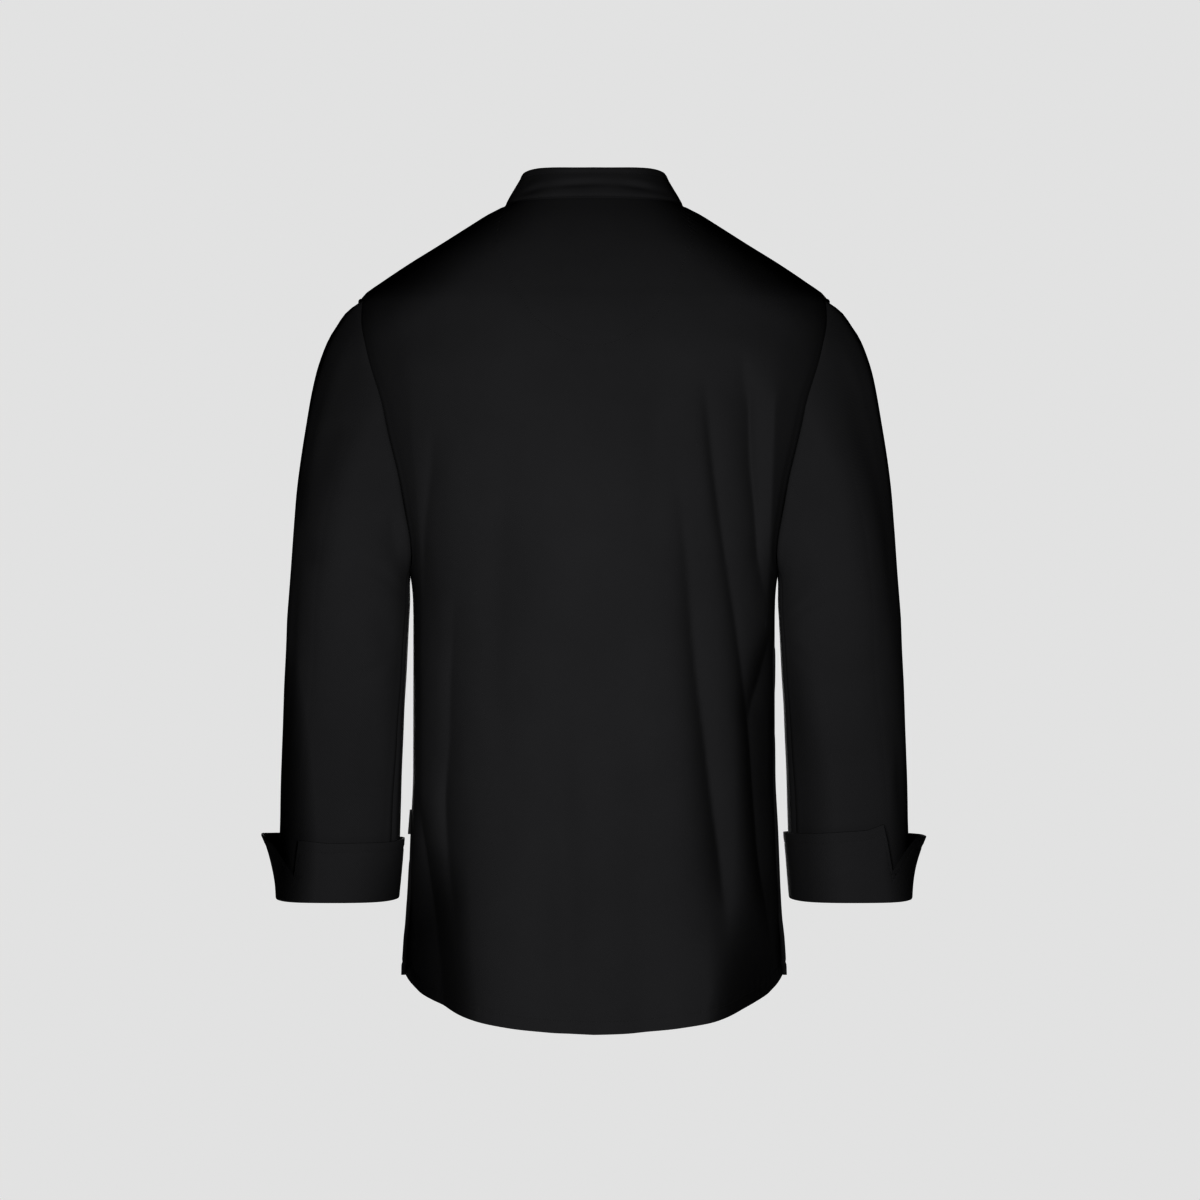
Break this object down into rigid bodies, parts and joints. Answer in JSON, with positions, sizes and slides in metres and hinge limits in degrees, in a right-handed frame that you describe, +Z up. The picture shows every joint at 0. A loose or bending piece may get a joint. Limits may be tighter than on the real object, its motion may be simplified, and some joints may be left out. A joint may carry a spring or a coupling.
{
  "type": "chef jacket",
  "caption": "Black double-breasted chef jacket worn hollow, with a stand collar, long set-in sleeves, turned-back split cuffs and a longer curved back.",
  "frame": {"origin": "midway between the two side neck points, at their height, where the garment hangs on the wearer's shoulders", "axes": "+Z up, -Y the garment's front, +X the wearer's left"},
  "size_m": [0.627, 0.2613, 0.8015],
  "materials": {
    "black_twill": "matte",
    "black_tape": "matte",
    "black_button": "satin"
  },
  "bodies": {
    "root": {"back": "black_twill", "front_left": "black_twill", "front_right": "black_twill", "collar": "black_twill", "sleeve_left_top": "black_twill", "sleeve_left_under": "black_twill", "sleeve_right_top": "black_twill", "sleeve_right_under": "black_twill", "cuff_left": "black_twill", "cuff_right": "black_twill", "side_label": "black_tape", "button_1": "black_button", "button_2": "black_button", "button_3": "black_button", "button_4": "black_button", "button_5": "black_button", "button_6": "black_button", "button_7": "black_button", "button_8": "black_button", "button_9": "black_button", "button_10": "black_button"}
  },
  "joints": []
}
